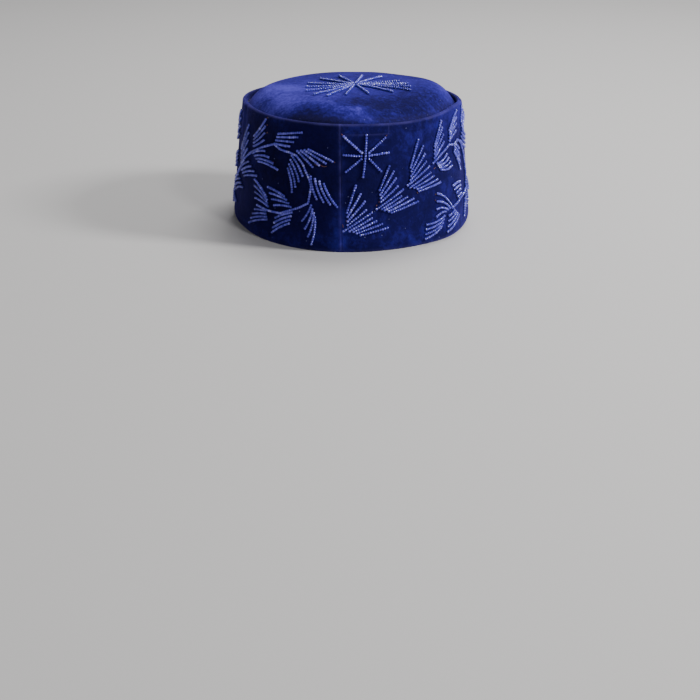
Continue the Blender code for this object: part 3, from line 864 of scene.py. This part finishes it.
# %% [markdown]
# ## The charts of the motifs
#
# The maker drew each motif on the cloth and sewed strings of beads along it. These tables are that drawing,
# in turn and rise. Each of the three fans has nine strings that start along one bent line. A leaf has a few
# strings side by side, and the table gives its first and last. The star of the band has eight arms, made by
# one long string through its middle and six short ones. The front of the cap repeats the back's motifs.

# %% Charts
BAND_STAR = (
    # inner turn, inner rise, outer turn, outer rise
    (-1.3, 2, -10.2, 16),
    (-1.3, 0, -10.3, 1),
    (-1.6, -1.6, -9, -12.5),
    (1.1, 2, 9.6, 14.2),
    (1.1, 0.2, 11.4, 1.9),
    (1.1, -1.4, 7.5, -13),
)
BAND_STAR_UPRIGHT = ((0.4, 17), (0, 0), (-1.2, -17))
LOW_FAN = (
    # root turn, root rise, tip turn, tip rise
    (1.7, 14.3, 5.7, 37.4),
    (1.9, 11.2, 7.9, 30.5),
    (1.9, 7.7, 9.8, 24.6),
    (1.8, 4.8, 10.4, 17.6),
    (0, 0, 12.9, 15.3),
    (2.6, 0.2, 12.9, 10.9),
    (4.3, -0.2, 14.9, 8.3),
    (5.6, -1.4, 17.5, 5.7),
    (7.1, -2.8, 20, 2.1),
)
MID_FAN = (
    (1.6, 14.6, 6.9, 34.3),
    (1.8, 10.9, 9.1, 29.7),
    (2, 8.1, 10.1, 24.1),
    (2, 5.5, 11, 17.6),
    (0, 0, 13.7, 14.4),
    (2.3, -0.1, 12.6, 9.3),
    (3.6, -1.3, 15.8, 8),
    (5.5, -2.2, 19.1, 5.8),
    (6.8, -3.4, 21.5, 2.8),
)
HIGH_FAN = (
    (2.3, 13.3, 7.6, 36.1),
    (2.5, 10.2, 10.5, 29.9),
    (2.1, 6.6, 11.5, 23.3),
    (1.7, 3.5, 12.1, 16.9),
    (0, 0, 14.1, 12.5),
    (1.2, -1.9, 14.6, 7.2),
    (3.5, -2.8, 16.9, 3.8),
    (5.3, -4, 19.1, 0.1),
    (6.2, -5.8, 21, -3.1),
)
VINE_STEM = (
    # turn, rise
    (-82, 21), (-79.5, 31.5), (-72.5, 40.5), (-66.5, 49.5), (-61.5, 57.5), (-53.5, 66), (-43, 73.5),
    (-34, 79), (-30, 76), (-25, 75), (-20.5, 73.5), (-17, 67.5), (-13.5, 56), (-12.5, 51), (-13.5, 37.5),
    (-18, 33), (-28, 25.5), (-36, 25), (-45, 26),
)
VINE_LEAVES = (
    # first root, first tip, last root, last tip (turn, rise each), bow
    ((-32, 87.5), (-17.5, 92), (-34, 79.5), (-24, 79.5), 0),
    ((-15, 79.5), (-2.7, 71), (-20.5, 77.5), (-11.8, 65.5), 2),
    ((-23.3, 73.5), (-16.6, 57.5), (-25, 63), (-21.8, 43.5), 6),
    ((-7, 54.5), (-0.5, 35.5), (-13, 59.5), (-9.5, 40.5), -5),
    ((-12, 37), (-16.4, 22.5), (-10.3, 28), (-11.8, 4.5), 6),
    ((-25.5, 39.5), (-37.3, 43.7), (-21.5, 32.5), (-32.3, 30.5), -4),
    ((-20.8, 28.5), (-31, 20.5), (-22.2, 19.5), (-32.6, 8), -4),
    ((-37, 35), (-49, 45.5), (-35.3, 28), (-47, 31), -5),
    ((-37, 24), (-46.8, 21.5), (-35.5, 17.8), (-52, 8), -3),
    ((-52, 79), (-41, 97), (-52, 71), (-41.6, 80), -3),
    ((-52.5, 65.2), (-40.3, 71.3), (-46.3, 61), (-30.4, 59.2), 5),
)
VINE_TAIL = (
    ((-67.3, 62.5), (-58, 87), (-66.5, 51), (-58, 67.5), 3),
    ((-67.3, 47.5), (-55.8, 57.2), (-61.3, 43), (-46.3, 49), 3),
    ((-79.5, 35), (-70, 40.5), (-76.2, 25.6), (-62, 33.2), 4),
    ((-86, 79), (-76, 92), (-84.5, 65), (-74, 73), 3),
    ((-83, 52), (-74, 59), (-81, 43), (-75, 49.5), 3),
    ((-86, 22), (-84, 11), (-81, 20), (-73.5, 16), -4),
)
RIGHT_STEM = (
    (47, 63), (54, 68.5), (61.5, 73), (66.5, 71), (72, 73), (76, 69), (79, 62.5),
    (81.5, 56), (83.5, 42), (81.5, 30), (75.5, 27.5), (71, 27.3), (65.5, 25), (58.5, 22.8),
)
RIGHT_LEAVES = (
    ((49, 75.5), (55.7, 95.3), (48.2, 66.5), (57.2, 77.7), 1),
    ((49.8, 62), (59.2, 67.2), (52.5, 56.7), (63.3, 56), -9),
    ((62.4, 83.5), (73, 96.4), (61.8, 75.4), (70.7, 81), 4),
    ((67.5, 71), (73.2, 65), (66, 66), (73.2, 47.5), 6),
    ((80.5, 79), (91, 71), (76, 71), (86, 62), -3),
    ((79.5, 84), (84.5, 97), (82, 77.5), (92, 88), 3),
    ((71.2, 39.3), (61.5, 39.5), (72, 30), (65.5, 28.8), -4),
    ((84, 38), (92, 24), (78, 23), (73.5, 9), 4),
    ((58.9, 23.5), (48.4, 38.7), (54, 22.2), (46.8, 20), -10),
    ((52.7, 19.5), (40.6, 16), (50.5, 12), (39.6, 4.8), 6),
    ((61.3, 20.6), (55.3, 18), (65.6, 15), (53.5, 5.5), 6),
)
LEAF_STRINGS = 4
CROWN_STAR_MIDDLE = (0.035, -0.116)
CROWN_STAR_EYE = 0.03
CROWN_STAR = (
    # heading from +X in degrees, reach as a share of the half width
    (-1, 0.44), (19, 0.38), (58, 0.38), (85, 0.37), (111, 0.49), (131, 0.50), (159, 0.44), (182, 0.41),
    (206, 0.43), (234, 0.51), (249, 0.51), (265, 0.44), (290, 0.41), (320, 0.43), (337, 0.51), (347, 0.48),
)
BACK_STAR = (11.3, 75.7)
FANS = {"low": (1.5, 16.6, LOW_FAN), "mid": (15.7, 33.4, MID_FAN), "high": (31, 49.7, HIGH_FAN)}
FRONT_SHIFT = 154
FRONT_VINE_RIGHT = 155.5
FRONT_VINE_LEFT = -101


# %% Strings of each motif
def bowed(root, tip, bow):
    """Path from root to tip with a parabola of that bow, in percent of its length, to the left of it."""
    share = np.linspace(0, 1, 7)[:, None]
    scale = np.array([DEGREE, PERCENT])
    run = (np.array(tip, float) - root) * scale
    arch = 4 * share * (1 - share) * bow / 100 * np.array([-run[1], run[0]])
    return root + (run * share + arch) / scale


def leaf(first_root, first_tip, last_root, last_tip, bow):
    """Strings of a leaf, spread evenly from its first to its last."""
    share = np.linspace(0, 1, LEAF_STRINGS)[:, None]
    roots = np.array(first_root) + (np.array(last_root) - first_root) * share
    tips = np.array(first_tip) + (np.array(last_tip) - first_tip) * share
    return [bowed(root, tip, bow) for root, tip in zip(roots, tips)]


def vine(stem, leaves, turn=0.0):
    """Strings of a vine: the stem and every leaf, carried round by the turn."""
    shift = np.array([turn, 0.0])
    return [np.array(stem) + shift] + [string + shift for row in leaves for string in leaf(*row)]


def fan(turn, rise, chart):
    """Strings of a fan: straight lines from root to tip, moved to its place."""
    place = np.array([turn, rise])
    return [np.linspace(place + row[:2], place + row[2:], 4) for row in np.array(chart)]


def band_star(turn, rise):
    """Strings of the band's star: the upright through its middle and the short arms."""
    place = np.array([turn, rise])
    return [place + np.array(BAND_STAR_UPRIGHT)] + [
        np.linspace(place + arm[:2], place + arm[2:], 3) for arm in np.array(BAND_STAR)
    ]


def crown_star():
    """Strings of the crown's star: from its open middle outward, by heading and reach."""
    middle = np.array(CROWN_STAR_MIDDLE) * HALF_WIDTH
    arms = []
    for heading, reach in CROWN_STAR:
        aim = np.array([math.cos(math.radians(heading)), math.sin(math.radians(heading))])
        arms.append(middle + np.linspace(CROWN_STAR_EYE, reach, 5)[:, None] * HALF_WIDTH * aim)
    return arms


# %% Sew the motifs
bead_motif("bead_crown_star", crown_star(), on_crown, "crown_star")
bead_motif("bead_back_star", band_star(*BACK_STAR), on_band, "back_star")
bead_motif("bead_front_star", band_star(BACK_STAR[0] + FRONT_SHIFT, BACK_STAR[1]), on_band, "front_star")
for level, (turn, rise, chart) in FANS.items():
    bead_motif("bead_fan_" + level, fan(turn, rise, chart), on_band, "fan_" + level)
    bead_motif("bead_front_fan_" + level, fan(turn + FRONT_SHIFT, rise, chart), on_band, "front_fan_" + level)
bead_motif("bead_vine_left", vine(VINE_STEM, VINE_LEAVES + VINE_TAIL), on_band, "vine_left")
bead_motif("bead_vine_right", vine(RIGHT_STEM, RIGHT_LEAVES), on_band, "vine_right")
for side_name, shift in (("right", FRONT_VINE_RIGHT), ("left", FRONT_VINE_LEFT)):
    front_vine = vine(VINE_STEM[5:], VINE_LEAVES, shift)
    bead_motif("bead_vine_front_" + side_name, front_vine, on_band, "vine_front_" + side_name)

# %% [markdown]
# ## Ends of the sewing thread
#
# The beads are sewn on with a brown cotton thread. It is hidden under them, but a few strings end in a knot
# that shows, and at one leaf the thread runs on bare for nine millimetres. Each bit is a thin tube: a ring
# of six points carried along a short path on the cloth.

# %% Thread ends
brown_thread, tree, shader = new_finish("mercerised_cotton_thread", {"Roughness": 0.6, "Sheen Weight": 0.2})
places = add_node(tree, "ShaderNodeTexCoord")
twist = add_node(
    tree,
    "ShaderNodeTexWave",
    {"Scale": 260.0, "Distortion": 1.0},
    {"Vector": places.outputs["Object"]},
    bands_direction="DIAGONAL",
)
thread_colour = add_node(tree, "ShaderNodeValToRGB", links={"Fac": twist.outputs["Fac"]})
set_ramp(thread_colour.color_ramp, [(0.0, linear("3C1822")), (1.0, linear("6E3434"))])
tree.links.new(thread_colour.outputs["Color"], shader.inputs["Base Color"])
TUBE_SIDES = 6
BIT_LIFT, BIT_RADIUS = 0.3 * MILLIMETRE, 0.28 * MILLIMETRE
KNOT_LIFT, KNOT_RADIUS = 0.5 * MILLIMETRE, 0.3 * MILLIMETRE
THREAD_BIT = ((-11.6, 68.4), (-10.4, 67.6), (-9.2, 68.3), (-8, 67.4), (-6.8, 67.1), (-5.9, 67.3))
KNOTS = (
    # turn, rise, heading in degrees, length in millimetres
    (-40.7, 97.6, 60, 1.3), (-40.4, 92, 60, 1.2), (-40.1, 86, 50, 1.4), (-34.4, 64.4, -10, 1.0),
    (0.8, 92.4, 120, 1.6), (21.1, 90.6, 50, 1.3), (1.8, 21.4, 100, 2.2), (3.2, 25.4, 95, 1.4),
    (17.4, 39.5, 70, 1.2), (16.2, 36.6, 75, 1.5), (48.6, 58.9, 20, 2.2), (56.2, 93.8, 95, 1.6),
    (-2.4, 70.9, -30, 1.1), (36.9, 42.8, -80, 1.1), (47.5, 33.6, 170, 1.0), (47.9, 38.2, 180, 1.0),
)


def thread_tube(path, lift, radius):
    """Tube along a path on the band: at each place a ring across the path, radius times cosine and sine."""
    place, out = on_band(*np.asarray(path, float).T)
    ahead = np.gradient(place, axis=0)
    side = square_to(out, ahead)
    around_it = np.arange(TUBE_SIDES) * 2 * math.pi / TUBE_SIDES
    centre = place + out * lift
    taper = np.where(np.isin(np.arange(len(place)), (0, len(place) - 1)), 0.5, 1.0)[:, None, None]
    ring = np.cos(around_it)[None, :, None] * side[:, None] + np.sin(around_it)[None, :, None] * out[:, None]
    return (centre[:, None] + radius * taper * ring).reshape(-1, 3)


def knot_path(turn, rise, heading, length):
    """Straight run of five places about the knot's middle, in turn and rise."""
    run = np.array([math.cos(math.radians(heading)) / DEGREE, math.sin(math.radians(heading)) / PERCENT])
    return np.array([turn, rise]) + np.linspace(-0.5, 0.5, 5)[:, None] * run * length * MILLIMETRE


tubes = [thread_tube(THREAD_BIT, BIT_LIFT, BIT_RADIUS)]
tubes += [thread_tube(knot_path(*row), KNOT_LIFT, KNOT_RADIUS) for row in KNOTS]
starts = np.cumsum([0] + [len(tube) for tube in tubes])
sides, ends = [], []
ring = np.arange(TUBE_SIDES)
for tube, start in zip(tubes, starts):
    sides.append(grid_faces(len(tube) // TUBE_SIDES, TUBE_SIDES) + start)
    ends.append(np.stack([ring[::-1], len(tube) - TUBE_SIDES + ring]) + start)
thread_ends = make_piece(
    "thread_ends", np.concatenate(tubes), [np.concatenate(sides), np.concatenate(ends)], {}, [brown_thread]
)

# %% [markdown]
# ## Floor, light and camera
#
# A studio floor is a pale matt sweep. The light is soft and comes from three panels: one at the right,
# which brightens that side and puts a point of light on each bead, a large one high behind the cap, which
# lights the crown, and a small one high in front. A pale sky fills in all round.

# %% Floor
floor_finish, tree, shader = new_finish(
    "matt_studio_card", {"Base Color": linear("C9C7C6"), "Roughness": 0.85}
)
grain = add_node(tree, "ShaderNodeTexCoord")
card = add_node(
    tree, "ShaderNodeTexNoise", {"Scale": 2.0, "Detail": 2.0}, {"Vector": grain.outputs["Object"]}
)
card_bump = add_node(
    tree, "ShaderNodeBump", {"Strength": 0.02, "Distance": MILLIMETRE}, {"Height": card.outputs["Fac"]}
)
tree.links.new(card_bump.outputs["Normal"], shader.inputs["Normal"])
card_mesh = bpy.data.meshes.new("studio_floor")
card_mesh.from_pydata([(-6, -6, 0), (6, -6, 0), (6, 9, 0), (-6, 9, 0)], [], [(0, 1, 2, 3)])
card_mesh.materials.append(floor_finish)
studio_floor = bpy.data.objects.new("studio_floor", card_mesh)
bpy.context.scene.collection.objects.link(studio_floor)


# %% Light
def soft_panel(name, place, width, power):
    """Square white area light at a place, turned so that its face looks at the cap."""
    lamp = bpy.data.lights.new(name, "AREA")
    lamp.size, lamp.energy = width, power
    panel = bpy.data.objects.new(name, lamp)
    panel.location = place
    direction = np.array(LIT_PLACE) - place
    direction = direction / np.linalg.norm(direction)
    turn_about = math.atan2(direction[0], -direction[1])
    panel.rotation_euler = (math.acos(-direction[2]), 0.0, turn_about + math.pi)
    bpy.context.scene.collection.objects.link(panel)


# Places and widths in metres, powers in watts
LIT_PLACE = (0, 0, 0.05)
soft_panel("key_panel", (1.5, -0.25, 0.95), 0.34, 29)
soft_panel("top_panel", (0.25, 0.8, 1.5), 0.9, 22)
soft_panel("front_panel", (0.9, -1.25, 1.25), 0.25, 9)
world = bpy.data.worlds.new("pale_studio")
world.use_nodes = True
world.node_tree.nodes["Background"].inputs["Color"].default_value = linear("D8D9DC")
world.node_tree.nodes["Background"].inputs["Strength"].default_value = 0.26
bpy.context.scene.world = world

# %% [markdown]
# ## Camera
#
# The photograph was taken with a long lens from a little above the rim, turned about five degrees to the
# right of the seam. The lens is 90 mm on a 36 mm sensor, and the camera stands 1.28 m from the cap.

# %% Camera
lens = bpy.data.cameras.new("studio_camera")
lens.lens, lens.sensor_width = 90.0, 36.0
camera = bpy.data.objects.new("studio_camera", lens)
AZIMUTH, ELEVATION, PITCH, ROLL = (math.radians(degrees) for degrees in (4.64, 13.12, 19.4, 0.57))
DISTANCE, SIDE, CAP_MIDDLE = 1.278, -0.0005, 0.043
back = np.array(
    [math.sin(AZIMUTH) * math.cos(ELEVATION), -math.cos(AZIMUTH) * math.cos(ELEVATION), math.sin(ELEVATION)]
)
right = np.array([math.cos(AZIMUTH), math.sin(AZIMUTH), 0.0])
camera.location = np.array([0, 0, CAP_MIDDLE]) + back * DISTANCE - right * SIDE
ahead = np.array(
    [-math.sin(AZIMUTH) * math.cos(PITCH), math.cos(AZIMUTH) * math.cos(PITCH), -math.sin(PITCH)]
)
above = np.cross(right, ahead)
across = math.cos(ROLL) * right + math.sin(ROLL) * above
above = math.cos(ROLL) * above - math.sin(ROLL) * right
camera.rotation_euler = Matrix(np.stack([across, above, -ahead], -1).tolist()).to_euler()
bpy.context.scene.collection.objects.link(camera)
bpy.context.scene.camera = camera
